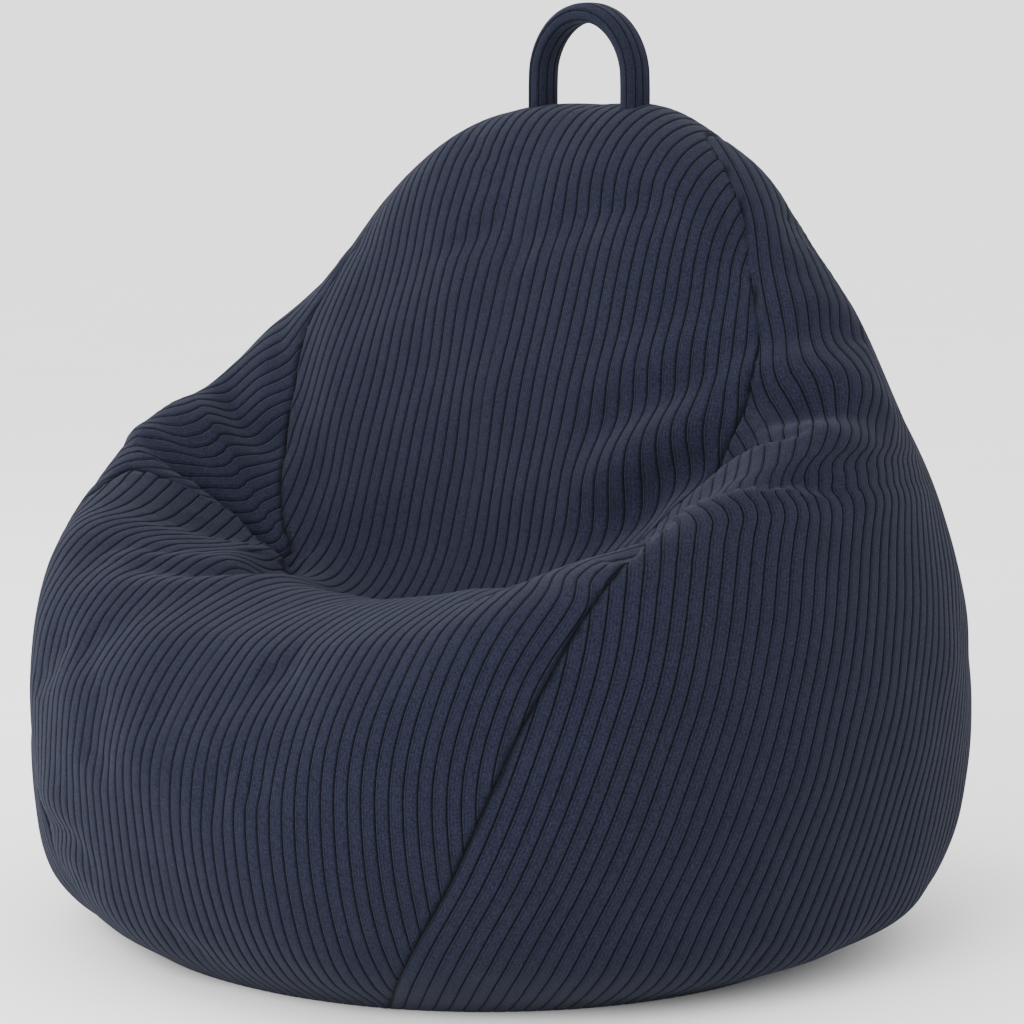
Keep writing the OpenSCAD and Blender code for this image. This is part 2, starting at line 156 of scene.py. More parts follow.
def bag_field(p):
    """Negative inside the bag, about millimetres near its surface."""
    x, y, z = p[..., 0], p[..., 1], p[..., 2]
    half_w, front, back, lean = np.moveaxis(hermite(z, SECTIONS), -1, 0)
    dy = y - lean
    depth = np.where(dy < 0, front, back)
    r = ((np.abs(x) / half_w) ** PLAN_POWER + (np.abs(dy) / depth) ** PLAN_POWER) ** (1 / PLAN_POWER)
    teardrop = smooth_max((r - 1) * np.minimum(half_w, 250), z - BAG_H, CROWN_BLEND)
    ahead = np.minimum(y + LIP_Y, 0)
    behind = np.clip((y + LIP_Y) / 200, 0, 2)
    arms = ARM_RISE * (np.abs(x) / ARM_X) ** 2.8 * (1 + 0.5 * behind)
    hollow = HOLLOW_D * np.exp(-((x / 230) ** 2) - ((y + 70) / 115) ** 2)
    over_seat = (z - (LIP_H - 0.0012 * ahead**2 + arms - hollow)) * 0.9
    rise = np.maximum(z - 350, -60)
    round_off = 55 * np.clip((z - 380) / 250, 0, 1)
    before_back = (-54 + BACK_LEAN * rise + 0.0002 * rise**2 + round_off * (x / 300) ** 2 - y) * 0.88
    return smooth_max(teardrop, smooth_min(over_seat, before_back, SEAT_BLEND), RIM_BLEND)


HALVINGS = 22  # along a ray
PROBE = 2.0  # step that finds which way is outward


def surface_points(directions):
    """Points of the surface along unit directions from the core."""
    low = np.zeros(directions.shape[:-1])
    high = np.full(directions.shape[:-1], REACH)
    for _ in range(HALVINGS):
        mid = (low + high) / 2
        inside = bag_field(CORE + directions * mid[..., None]) < 0
        low = np.where(inside, mid, low)
        high = np.where(inside, high, mid)
    return CORE + directions * low[..., None]


def normalised(v):
    return v / np.maximum(np.linalg.norm(v, axis=-1, keepdims=True), 1e-9)


def outward(p):
    steps = np.eye(3) * PROBE
    return normalised(np.stack([bag_field(p + s) - bag_field(p - s) for s in steps], axis=-1))


# Directions from the core. Yaw turns from the front towards +X and dip is measured from +Z; pitch
# and swing fan out from the X axis.


def yaw_dip(yaw, dip):
    yaw, dip = np.radians(yaw), np.radians(dip)
    return np.stack([np.sin(dip) * np.sin(yaw), -np.sin(dip) * np.cos(yaw), np.cos(dip)], axis=-1)


def pitch_swing(pitch, swing):
    pitch, swing = np.radians(pitch), np.radians(swing)
    return np.stack([np.sin(swing), -np.cos(swing) * np.cos(pitch), np.cos(swing) * np.sin(pitch)], axis=-1)


def yaw_of(v):
    return np.degrees(np.arctan2(v[..., 0], -v[..., 1]))


def dip_of(v):
    return np.degrees(np.arccos(np.clip(v[..., 2] / np.linalg.norm(v, axis=-1), -1, 1)))


WALL_Z = 1.0  # height of the floor line


def make_rim_table():
    """Dip of the floor line at each yaw from 0 to 180 degrees."""
    yaws = np.linspace(0, 180, 91)
    flat = np.stack([np.sin(np.radians(yaws)), -np.cos(np.radians(yaws)), np.zeros_like(yaws)], axis=-1)
    low, high = np.zeros_like(yaws), np.full_like(yaws, REACH)
    start = np.array([CORE[0], CORE[1], WALL_Z])
    for _ in range(HALVINGS):
        mid = (low + high) / 2
        inside = bag_field(start + flat * mid[:, None]) < 0
        low, high = np.where(inside, mid, low), np.where(inside, high, mid)
    return yaws, 90 + np.degrees(np.arctan((CORE[2] - WALL_Z) / low)), low


RIM_YAWS, RIM_DIPS, RIM_RADII = make_rim_table()


def rim_dip(yaw):
    return np.interp(np.abs(yaw), RIM_YAWS, RIM_DIPS)


# The long seam: pitch, swing, and the dip where the same row of the side panel meets the back seam.
SEAM = np.array(
    [
        [-21, 22, 118], [-15, 25, 109], [0, 33, 90], [20, 38.5, 70], [40, 41.6, 56], [48, 42.8, 53],
        [49.6, 42.6, 52.2], [50.6, 40.5, 51.6], [51.4, 37.6, 51], [52.4, 36.4, 50.3], [54.5, 37.2, 49.4],
        [58, 39, 47.8], [66, 40.6, 45], [75, 40, 41], [86, 35, 34], [92, 24, 29], [96, 14, 24],
        [99, 13.4, 20], [102, 11.2, 17.8], [104.5, 7.4, 16.7], [105.6, 3.9, 16.2], [106, 0, 16],
    ]
)
PITCH_LOW, PITCH_HIGH = -21.0, 105.95
LEVEL_PITCHES = 40  # over so many degrees the rows turn from level to fanned out


def seam_at(pitch):
    """Swing of the seam and dip of the back seam at a pitch."""
    both = hermite(np.asarray(pitch, float), SEAM)
    return both[..., 0], both[..., 1]


def floor_share(pitch):
    return 1 - smooth_step((pitch - PITCH_LOW) / LEVEL_PITCHES)


def front_directions(pitch, s):
    """Directions of the front panel at a pitch, with s from -1 at the left seam to 1 at the right."""
    swing, _ = seam_at(pitch)
    fan = pitch_swing(pitch, s * swing)
    edge = pitch_swing(pitch, swing)
    yaw = s * yaw_of(edge)
    low = yaw_dip(yaw, dip_of(edge) + rim_dip(yaw) - rim_dip(yaw_of(edge)))
    share = floor_share(pitch)[..., None]
    return normalised(fan * (1 - share) + low * share)


def side_directions(pitch, s):
    """Directions of the right side panel at a pitch, with s from 0 at the front seam to 1 at the back."""
    swing, back_dip = seam_at(pitch)
    edge = pitch_swing(pitch, swing)
    yaw0 = yaw_of(edge)
    yaw = yaw0 + (180 - yaw0) * s
    dip = dip_of(edge) * (1 - s) + back_dip * s
    low = rim_dip(yaw) - rim_dip(yaw0) * (1 - s) - rim_dip(180) * s
    return yaw_dip(yaw, dip + floor_share(pitch) * low)


# Rib grids: columns follow the ribs, rows cross them.

RIB_PITCH = 14.1
CROWN, GROOVE = 1.2, -1.6
# Phase across one rib, with 0 in the groove, and the height there from 0 in the groove to 1.
RIB_PROFILE = np.array([
    [0, 0], [0.06, 0.66], [0.13, 0.94], [0.25, 1], [0.77, 1], [0.88, 0.94], [0.945, 0.66]
])
ROW_COUNT = 215
SEAM_ROOM = 0.5  # no column stands closer to a seam than this


def arclength(points):
    steps = np.linalg.norm(np.diff(points, axis=1), axis=-1)
    return np.concatenate([np.zeros((len(points), 1)), np.cumsum(steps, axis=1)], axis=1)


def even_pitches(count):
    """Pitches of rows about evenly spaced. All panels share them, so their seams meet."""
    pitches = np.linspace(PITCH_LOW, PITCH_HIGH, 600)
    front = surface_points(front_directions(pitches[None, :], np.array([[0.0], [0.6], [1.0]])))
    side = surface_points(side_directions(pitches[None, :], np.array([[0.25], [0.6]])))
    length = arclength(np.concatenate([front, side])).mean(axis=0)
    return np.interp(np.linspace(0, length[-1], count), length, pitches)


ROW_PITCHES = even_pitches(ROW_COUNT)


def rib_columns(first, last):
    """Rib coordinates of the columns from first to last, and the rib height at each."""
    ribs = np.arange(math.floor(first / RIB_PITCH), math.ceil(last / RIB_PITCH) + 1)
    phases = RIB_PROFILE[:, 0]
    u = ((ribs[:, None] + phases[None, :]) * RIB_PITCH).ravel()
    height = np.tile(RIB_PROFILE[:, 1], len(ribs))
    keep = (u > first + SEAM_ROOM) & (u < last - SEAM_ROOM)
    return u[keep], height[keep]


class RibGrid:
    """Rows that cross the ribs and columns that follow them, with what each point's rib is like."""

    def __init__(self, share, height, across):
        self.pitch = np.broadcast_to(ROW_PITCHES[:, None], share.shape)
        self.share = share
        self.height = np.tile(height, (len(share), 1))
        self.across = across / RIB_PITCH


# The front panel's ribs stand closer together on the belly than on the backrest: from this pitch
# on they spread, over so many degrees.
BELLY_GATHER = 0.14
GATHER_PITCH, GATHER_FADE = 22, 34
BEYOND = 1.25  # the front panel's rows are measured so far past the seam's swing


def front_grid():
    """Grid of the front panel, with shares from -1 to 1. Ribs that meet a seam end on it."""
    s = np.linspace(0, BEYOND, 90)
    points = surface_points(front_directions(ROW_PITCHES[:, None], s[None, :]))
    gather = 1 - BELLY_GATHER * (1 - smooth_step((ROW_PITCHES - GATHER_PITCH) / GATHER_FADE))
    length = arclength(points) / gather[:, None]
    to_seam = np.array([np.interp(1.0, s, row) for row in length])
    u, height = rib_columns(0, to_seam.max())
    u = np.append(u, 2 * to_seam.max())
    height = np.append(height, 0.0)
    right = np.minimum(np.stack([np.interp(u, row, s) for row in length]), 1)
    across = np.minimum(u[None, :], to_seam[:, None])
    share = np.concatenate([-right[:, ::-1], right], axis=1)
    across = np.concatenate([-across[:, ::-1], across], axis=1)
    return RibGrid(share, np.concatenate([height[::-1], height]), across)


# Share of the seam's sideways shift that cuts across the side panel's ribs, by pitch: 0 where the
# ribs run along the seam.
SEAM_CUT = np.array([
    [-21, 0], [2, 0], [20, 0.35], [34, 0.75], [46, 0.8], [48, 0.7], [51, 0.7], [51.4, 0.3], [53, 0.3],
    [55, 1], [80, 1], [90, 0], [106, 0]
])


def side_start(points):
    """Rib coordinate at which each row of the side panel leaves the front seam."""
    seam = points[:, 0]
    along = normalised(points[:, 4] - seam)
    shift = np.einsum("ij,ij->i", np.diff(seam, axis=0), (along[1:] + along[:-1]) / 2)
    pitch = (ROW_PITCHES[1:] + ROW_PITCHES[:-1]) / 2
    cut = np.interp(pitch, SEAM_CUT[:, 0], SEAM_CUT[:, 1])
    return np.concatenate([[0], np.cumsum(shift * cut)])


def side_grid():
    """Grid of the right side panel, with shares from 0 at the front seam to 1 at the back one."""
    s = np.linspace(0, 1, 220)
    points = surface_points(side_directions(ROW_PITCHES[:, None], s[None, :]))
    length = arclength(points)
    start = side_start(points)
    first, last = start.min(), (start + length[:, -1]).max()
    u, height = rib_columns(first, last)
    u = np.concatenate([[first - 1], u, [last + 1]])
    height = np.concatenate([[0.0], height, [0.0]])
    share = np.stack([np.interp(u - offset, row, s) for offset, row in zip(start, length)])
    across = np.clip(u[None, :], start[:, None], (start + length[:, -1])[:, None])
    return RibGrid(share, height, across)


def seam_lines():
    """Dense points of the three seams: front right, front left and back."""
    pitches = np.linspace(PITCH_LOW, PITCH_HIGH, 420)
    right = surface_points(pitch_swing(pitches, seam_at(pitches)[0]))
    dips = np.linspace(16, 118, 300)
    back = surface_points(yaw_dip(np.full_like(dips, 180.0), dips))
    return right, right * [-1, 1, 1], back


def nearest(points, line, chunk=8000):
    """Distance from each point to the nearest of a line's points, and which one that is."""
    flat = points.reshape(-1, 3)
    distance, index = np.empty(len(flat)), np.empty(len(flat), int)
    for i in range(0, len(flat), chunk):
        part = flat[i : i + chunk]
        square = (part**2).sum(1)[:, None] + (line**2).sum(1)[None, :] - 2 * part @ line.T
        index[i : i + chunk] = square.argmin(1)
        distance[i : i + chunk] = np.sqrt(np.maximum(square.min(1), 0))
    return distance.reshape(points.shape[:-1]), index.reshape(points.shape[:-1])


# Folds: lines on the bag with a depth, a radius and how much the cloth rises beside them. With
# "deep" the line is a crest: the cloth rises on it and drops on the side that this vector points to.
# Most of the lines' points weren't chosen by hand: a separate program worked them out, so this table
# isn't one to copy.

FOLDS = [
    # right side panel, where the arm meets the back
    dict(
        line=[(404, 5, 438), (388, -55, 454), (363, -102, 453), (343, -117, 442), (340, -160, 427),
              (336, -214, 402)],
        depth=12, radius=20, rise=6, deep=(-0.3, 0.7, 0.65), ends=(0.0, 0.85),
    ),
    dict(
        line=[(373, 5, 494), (361, -15, 487), (337, -20, 479), (308, -18, 471), (271, -30, 444)],
        depth=9, radius=17, rise=5, deep=(-0.3, 0.7, 0.65), ends=(0.0, 0.85),
    ),
    dict(
        line=[(270, 5, 505), (299, 20, 520), (329, 21, 512), (358, 39, 516), (373, 80, 504)],
        depth=9, radius=15, rise=6,
    ),
    dict(line=[(294, 40, 580), (324, 64, 588), (340, 100, 585)], depth=5, radius=16, rise=4),
    # backrest, beside the right seam
    dict(
        line=[(267, 28, 551), (232, 11, 529), (191, -2, 509), (138, -17, 482)],
        depth=9, radius=20, rise=5,
    ),
    dict(
        line=[(286, 0, 488), (254, -15, 464), (222, -25, 444), (203, -37, 418), (172, -49, 389)],
        depth=15, radius=22, rise=7,
    ),
    # left arm
    dict(
        line=[(-354, -149, 432), (-307, -144, 417), (-259, -124, 386), (-228, -121, 367),
              (-194, -125, 350), (-167, -127, 338)],
        depth=17, radius=26, rise=10, deep=(0.5, 0.75, -0.1), ends=(0.02, 0.75),
    ),
    dict(
        line=[(-350, -20, 490), (-331, -30, 471), (-296, -38, 447), (-262, -36, 434)],
        depth=9, radius=15, rise=5,
    ),
    dict(line=[(-365, -95, 462), (-336, -100, 444), (-304, -94, 423)], depth=7, radius=13, rise=4),
    dict(
        line=[(-171, -289, 350), (-130, -266, 347), (-108, -224, 344), (-150, -140, 335)],
        depth=9, radius=16, rise=5,
    ),
    # low on the left, a small pucker
    dict(line=[(-240, -358, 120), (-151, -403, 128), (-110, -410, 105)], depth=5, radius=14, rise=3),
]

# Broad swellings: centre, radius and height.
SWELLS = [
    ((-345, 45, 526), 50, 18),
    ((-383, -90, 450), 76, 10),
    ((-300, 60, 600), 80, 4),
    ((310, 270, 430), 140, -6),
    ((-300, -280, 65), 70, 14),
]


def densify(line, step=4.0):
    """Points along a smooth curve through a line's points, about one step apart."""
    line = np.asarray(line, float)
    length = np.concatenate([[0], np.cumsum(np.linalg.norm(np.diff(line, axis=0), axis=1))])
    table = np.column_stack([length, line])
    return hermite(np.arange(0, length[-1], step), table)


def crest_profile(t):
    """Height across a crest, from the shallow side (t < 0) to the deep one, as rise and dent."""
    rise = np.exp(-((t / np.where(t < 0, 1.6, 0.4)) ** 2))
    x = np.maximum(t, 0) / 0.65
    return rise, -x * np.exp(0.5 - 0.5 * x * x)


def dent_profile(t):
    """Height across a dent, with the cloth raised a little way off on both sides of it."""
    return np.exp(-(((t - 2.3) / 1.2) ** 2)), -np.exp(-(t**2))


def fold_depth(points, fold):
    """Height that a fold adds to each point. Only the points near it are worked out."""
    line = densify(fold["line"])
    reach = 4.5 * fold["radius"]
    near = np.all((points > line.min(axis=0) - reach) & (points < line.max(axis=0) + reach), axis=-1)
    height = np.zeros(points.shape[:-1])
    if near.any():
        height[near] = fold_height(points[near], line, fold)
    return height


def fold_height(points, line, fold):
    """Height of a fold, which fades towards the ends of its line."""
    distance, index = nearest(points, line)
    along = index / (len(line) - 1)
    first, last = fold.get("ends", (0.12, 0.88))
    taper = np.sin(np.pi * np.clip(first + (last - first) * along, 0, 1)) ** 0.8
    beyond = np.where((index == 0) | (index == len(line) - 1), distance, 0) / fold["radius"]
    t = distance / fold["radius"]
    if "deep" in fold:
        side = (points - line[index]) @ np.array(fold["deep"])
        rise, dent = crest_profile(t * np.sign(side))
        taper = taper * np.exp(-(beyond**2))
    else:
        rise, dent = dent_profile(t)
    return taper * (fold["rise"] * rise + fold["depth"] * dent)


def slack(p):
    """Soft unevenness of a loosely filled bag, in millimetres."""
    x, y, z = p[..., 0] / 100, p[..., 1] / 100, p[..., 2] / 100
    return (
        2.2 * np.sin(1.9 * x + 1.1 * z + 0.4) * np.sin(1.7 * z - 0.8 * y)
        + 1.6 * np.sin(3.1 * x - 2.3 * y + 1.2) * np.sin(2.7 * z + 1.9 * y + 0.6)
        + 1.0 * np.sin(5.3 * z + 2.1 * x) * np.sin(4.1 * y - 3.7 * x + 2.0)
    )


# Each seam has a narrow groove and a wide, uneven pull that eases towards the head. Ribs end at it.
SEAM_SINK, SEAM_SINK_R = 1.1, 2.2
SEAM_PULL, SEAM_PULL_R = 0.9, 30.0
PUCKER = 0.15
EASE, EASE_Z, EASE_FADE = 0.8, 620, 90
SEAM_FLAT_R = 2.2
SLACK_R = 60
FLOOR_Z, FLOOR_FADE = 2, 40
SEAMS = seam_lines()


def seam_shape(p):
    """Depth of the seams' groove and pull, and the distance to the nearest seam."""
    pull = np.zeros(p.shape[:-1])
    near = np.full(p.shape[:-1], REACH)
    for line in SEAMS:
        distance, index = nearest(p, line)
        wave = 1 + PUCKER * np.sin(index * 0.7) * np.sin(index * 0.23)
        pull = np.minimum(pull, -SEAM_PULL * wave * np.exp(-((distance / SEAM_PULL_R) ** 2)))
        near = np.minimum(near, distance)
    pull = pull * (1 - EASE * smooth_step((p[..., 2] - EASE_Z) / EASE_FADE))
    return pull - SEAM_SINK * np.exp(-((near / SEAM_SINK_R) ** 2)), near


def shaped(p):
    """Height of the folds, swells and seams over the plain surface, and the distance to a seam."""
    sink, near = seam_shape(p)
    lift = slack(p) * smooth_step(near / SLACK_R)
    for fold in FOLDS:
        lift = lift + fold_depth(p, fold)
    for centre, radius, height in SWELLS:
        square = ((p - np.array(centre)) ** 2).sum(axis=-1)
        lift = lift + height * np.exp(-square / radius**2)
    above_floor = smooth_step((p[..., 2] - FLOOR_Z) / FLOOR_FADE)
    return (sink + lift) * above_floor, near


TUCK, TUCK_Z = 0.07, 60.0
TUCK_SHIFT = np.array([-10.0, -9.0])


def tuck_under(p):
    """Draws the lowest part of the bag in, so that its wall rolls under before it meets the floor."""
    share = np.clip(1 - p[..., 2:] / TUCK_Z, 0, 1) ** 2
    return np.concatenate([p[..., :2] * (1 - TUCK * share) + TUCK_SHIFT * share, p[..., 2:]], axis=-1)


# Meshes


def grid_faces(rows, cols):
    i, j = np.meshgrid(np.arange(rows - 1), np.arange(cols - 1), indexing="ij")
    a = (i * cols + j).ravel()
    return np.column_stack([a, a + 1, a + cols + 1, a + cols])


def open_faces(share):
    """Faces of a grid, without those squeezed to nothing where their columns have met a seam."""
    faces = grid_faces(*share.shape)
    flat = share.ravel()[faces]
    return faces[np.ptp(flat, axis=1) > 1e-6]


def make_mesh(name, points, faces, layers=None):
    """A smooth mesh object from points in millimetres, with a float attribute for each layer."""
    used, faces = np.unique(np.asarray(faces, int), return_inverse=True)
    faces = faces.reshape(-1, 4)
    points = np.asarray(points, float).reshape(-1, 3)[used] * MM
    mesh = bpy.data.meshes.new(name)
    mesh.vertices.add(len(points))
    mesh.vertices.foreach_set("co", points.ravel())
    mesh.loops.add(faces.size)
    mesh.loops.foreach_set("vertex_index", faces.ravel())
    mesh.polygons.add(len(faces))
    mesh.polygons.foreach_set("loop_start", np.arange(0, faces.size, faces.shape[1]))
    mesh.polygons.foreach_set("loop_total", np.full(len(faces), faces.shape[1]))
    mesh.update(calc_edges=True)
    for key, values in (layers or {}).items():
        layer = mesh.attributes.new(key, "FLOAT", "POINT")
        layer.data.foreach_set("value", np.asarray(values, float).ravel()[used])
    mesh.polygons.foreach_set("use_smooth", np.ones(len(faces), bool))
    mesh.validate()
    obj = bpy.data.objects.new(name, mesh)
    bpy.context.scene.collection.objects.link(obj)
    return obj


# Cloth: a coarse sheet of the cover, held at its seams and swollen by the filling. The panels, the
# liner and the filling all follow how far it moved.

SIM_COLS, SIM_ROWS, SIM_FRAMES = 150, 84, 20
SIM_TOP_SHARE = 0.965  # the sheet ends this far up from the floor line to the crown
SIM_CAP = 5.0
SIM_PRESSURE, SIM_SHRINK, SIM_STRETCH, SIM_BEND = 4, -0.008, 12, 0.4
PIN_R = 9.0


def simulate_cover():
    """How far each point of the coarse sheet moved along its normal, by row and yaw."""
    yaws = np.linspace(-180, 180, SIM_COLS, endpoint=False)
    shares = np.linspace(0, SIM_TOP_SHARE, SIM_ROWS)
    yaw, share = np.meshgrid(yaws, shares)
    plain = surface_points(yaw_dip(yaw, rim_dip(yaw) * (1 - share)))
    height, near = shaped(plain)
    normals = outward(plain)
    start = plain + normals * height[..., None]
    faces = grid_faces(SIM_ROWS, SIM_COLS + 1)
    row, col = faces // (SIM_COLS + 1), faces % (SIM_COLS + 1) % SIM_COLS
    sheet = make_mesh("cover_sheet", start, row * SIM_COLS + col)
    held = np.exp(-((near / PIN_R) ** 2))
    held[0] = held[-1] = 1
    group = sheet.vertex_groups.new(name="held")
    for index, weight in enumerate(held.ravel()):
        group.add([index], float(weight), "REPLACE")
    cloth = sheet.modifiers.new("cloth", "CLOTH")
    settings = cloth.settings
    settings.vertex_group_mass = "held"
    settings.effector_weights.gravity = 0
    settings.use_pressure = True
    settings.uniform_pressure_force = SIM_PRESSURE
    settings.shrink_min = SIM_SHRINK
    settings.tension_stiffness = settings.compression_stiffness = SIM_STRETCH
    settings.bending_stiffness = SIM_BEND
    cloth.collision_settings.use_collision = False
    scene = bpy.context.scene
    for frame_number in range(1, SIM_FRAMES + 1):
        scene.frame_set(frame_number)
    moved_mesh = sheet.evaluated_get(bpy.context.evaluated_depsgraph_get()).data
    moved = np.empty(len(moved_mesh.vertices) * 3)
    moved_mesh.vertices.foreach_get("co", moved)
    scene.frame_set(1)
    swollen = ((moved.reshape(start.shape) / MM - start) * normals).sum(axis=-1)
    bpy.data.objects.remove(sheet)
    return np.clip(swollen, -SIM_CAP, SIM_CAP)


def sample_sheet(table, p):
    """Value of the coarse sheet's table along the rays to points of the plain surface."""
    ray = p - CORE
    yaw, dip = yaw_of(ray), dip_of(ray)
    col = (yaw + 180) / 360 * SIM_COLS
    row = np.clip(1 - dip / rim_dip(yaw), 0, SIM_TOP_SHARE) / SIM_TOP_SHARE * (SIM_ROWS - 1)
    i = np.clip(row.astype(int), 0, SIM_ROWS - 2)
    j = col.astype(int)
    a, b = row - i, col - j
    j, k = j % SIM_COLS, (j + 1) % SIM_COLS
    low = table[i, j] * (1 - b) + table[i, k] * b
    high = table[i + 1, j] * (1 - b) + table[i + 1, k] * b
    return low * (1 - a) + high * a


SWELLING = simulate_cover()
SWELLING_R = 34.0
SWELLING_Z, SWELLING_FADE = 10, 60


def soft_shape(p):
    """Height over the plain surface of everything but the ribs, and the distance to a seam."""
    height, near = shaped(p)
    above_floor = smooth_step((p[..., 2] - SWELLING_Z) / SWELLING_FADE)
    off_seam = 1 - np.exp(-((near / SWELLING_R) ** 2))
    return height + sample_sheet(SWELLING, p) * (above_floor * off_seam), near


def ribbed_surface(points, height):
    """Moves plain surface points to the finished cloth: folds, seams and ribs."""
    normals = outward(points)
    soft, near = soft_shape(points)
    # This rib height also sets the cloth's colour in the material: painted shade in the grooves, and along
    # the seams where it falls to zero.
    shade = height * (1 - np.exp(-((near / SEAM_FLAT_R) ** 2)))
    ribs = GROOVE + (CROWN - GROOVE) * shade
    return tuck_under(settle(points + normals * (soft + ribs)[..., None])), shade


EDGE_Z, SETTLE_Z = 0.6, 45.0


def settle(p):
    """Brings the lowest row of a panel onto the floor, and the rows over it less and less."""
    edge = p[:1, :, 2]
    fade = np.clip(1 - (p[..., 2] - edge) / SETTLE_Z, 0, 1) ** 2
    settled = p.copy()
    settled[..., 2] += (EDGE_Z - edge) * fade
    return settled


def make_front_panel():
    grid = front_grid()
    points = surface_points(front_directions(grid.pitch, grid.share))
    points, shade = ribbed_surface(points, grid.height)
    layers = {"rib": shade, "across": grid.across}
    return make_mesh("front_panel_cloth", points, open_faces(grid.share), layers)


HEM_DEPTHS = (2.5, 6.0)
SHUT, ZIP_OPENING = 0.3, 6.5
ZIP_TOP_DIP, ZIP_FOOT_DIP, ZIP_TAPER = 47, 106, 6


def back_edge(pitch):
    """Distance of a side panel's back edge from the middle: open along the zip, shut elsewhere."""
    _, back_dip = seam_at(pitch)
    foot = smooth_step((ZIP_FOOT_DIP - back_dip) / ZIP_TAPER)
    top = smooth_step((back_dip - ZIP_TOP_DIP) / ZIP_TAPER)
    return SHUT + (ZIP_OPENING - SHUT) * foot * top


def make_side_panel(name, mirror):
    """Cloth of a side panel, with a hem turned in along its back edge."""
    grid = side_grid()
    points = surface_points(side_directions(grid.pitch, grid.share))
    points[..., 0] = np.maximum(points[..., 0], back_edge(grid.pitch))
    points[..., 0] *= mirror
    edge_normals = outward(points[:, -1])
    points, shade = ribbed_surface(points, grid.height)
    hems = [points[:, -1] - edge_normals * depth for depth in HEM_DEPTHS]
    points = np.concatenate([points] + [hem[:, None] for hem in hems], axis=1)

    def extended(values):
        return np.concatenate([values, np.repeat(values[:, -1:], len(hems), axis=1)], axis=1)

    share = extended(grid.share)
    share[:, -len(hems) :] += np.arange(1, len(hems) + 1)
    faces = open_faces(share)
    if mirror < 0:
        faces = faces[:, ::-1]
    return make_mesh(name, points, faces, {"rib": extended(shade), "across": extended(grid.across)})


# Inner pieces: the liner and the filling follow the cover's folds from inside.

INNER_SHARES = np.linspace(0, 1, 90)
INNER_COLS = 120
INNER_DIP = 0.985  # share of the floor line's dip where they start
INNER_FLOOR = 9.0


def inner_surface(depth, yaws):
    """Grid of points at a depth below the cover, from the floor line to the top."""
    yaw, share = np.meshgrid(yaws, INNER_SHARES)
    folded_yaw = np.where(yaw > 180, 360 - yaw, yaw)
    dips = rim_dip(folded_yaw) * (1 - share) * INNER_DIP
    points = surface_points(yaw_dip(yaw, dips))
    soft, _ = soft_shape(points)
    points = points + outward(points) * (soft - depth)[..., None]
    points[..., 2] = np.maximum(points[..., 2], INNER_FLOOR)
    return tuck_under(points)


def make_inner(name, depth, first_yaw, last_yaw):
    yaws = np.linspace(first_yaw, last_yaw, INNER_COLS)
    points = inner_surface(depth, yaws)
    return make_mesh(name, points, grid_faces(*points.shape[:2]))


def make_floor_disc(name, inset, low, high):
    """A flat round panel along the floor line, with a rounded edge."""
    yaws = np.linspace(0, 360, 145)
    radius = np.interp(np.where(yaws > 180, 360 - yaws, yaws), RIM_YAWS, RIM_RADII) - inset
    across = np.array([0, 0.5, 0.9, 0.995, 1.0, 0.995, 0.9, 0.5, 0])
    z = np.array([low, low, low, low, (low + high) / 2, high, high, high, high])
    a = np.radians(yaws)
    x = across[:, None] * (radius * np.sin(a))[None, :]
    y = CORE[1] - across[:, None] * (radius * np.cos(a))[None, :]
    points = np.stack([x, y, np.broadcast_to(z[:, None], x.shape)], axis=-1)
    return make_mesh(name, tuck_under(points), grid_faces(*x.shape)[:, ::-1])


# Handle: a padded strap in a loop, ribbed along its length.

LOOP_R, LOOP_Y, LOOP_LEG_Z, LOOP_LOW_Z = 58.0, 126.0, 801.7, 752.0
STRAP_THICK, STRAP_WIDE = 18.0, 30.0
STRAP_ROUND = 3.4
STRAP_RIBS = 9
STRAP_GROOVE, STRAP_RIB = -1.1, 1.9
# The loop narrows from this far above its lowest point, over such a height.
LOOP_NARROWING, NARROW_START, NARROW_FADE = 0.05, 30, 80


def loop_path():
    """Middle line of the loop and its outward direction at each point, both in the XZ plane."""
    leg = np.linspace(LOOP_LOW_Z, LOOP_LEG_Z, 16)[:-1]
    bend = np.radians(np.linspace(180, 0, 61))
    x = np.concatenate([np.full_like(leg, -LOOP_R), LOOP_R * np.cos(bend), np.full_like(leg, LOOP_R)])
    z = np.concatenate([leg, LOOP_LEG_Z + LOOP_R * np.sin(bend), leg[::-1]])
    out_x = np.concatenate([np.full_like(leg, -1.0), np.cos(bend), np.full_like(leg, 1.0)])
    out_z = np.concatenate([leg * 0, np.sin(bend), leg * 0])
    narrow = 1 - LOOP_NARROWING * smooth_step((z - LOOP_LOW_Z - NARROW_START) / NARROW_FADE)
    return x * narrow, z, out_x, out_z


def strap_outline():
    """Outline of the strap across its thickness and width, with the rib height and rib coordinate."""
    angle = np.linspace(0, 2 * np.pi, 721)
    c, s = np.cos(angle), np.sin(angle)
    a = STRAP_THICK / 2 * np.sign(c) * np.abs(c) ** (2 / STRAP_ROUND)
    b = STRAP_WIDE / 2 * np.sign(s) * np.abs(s) ** (2 / STRAP_ROUND)
    length = np.concatenate([[0], np.cumsum(np.hypot(np.diff(a), np.diff(b)))])
    phases = (np.arange(STRAP_RIBS)[:, None] + RIB_PROFILE[None, :, 0]).ravel()
    phases = np.append(phases, STRAP_RIBS)
    height = np.append(np.tile(RIB_PROFILE[:, 1], STRAP_RIBS), 0.0)
    at = phases / STRAP_RIBS * length[-1]
    return np.interp(at, length, a), np.interp(at, length, b), height, phases


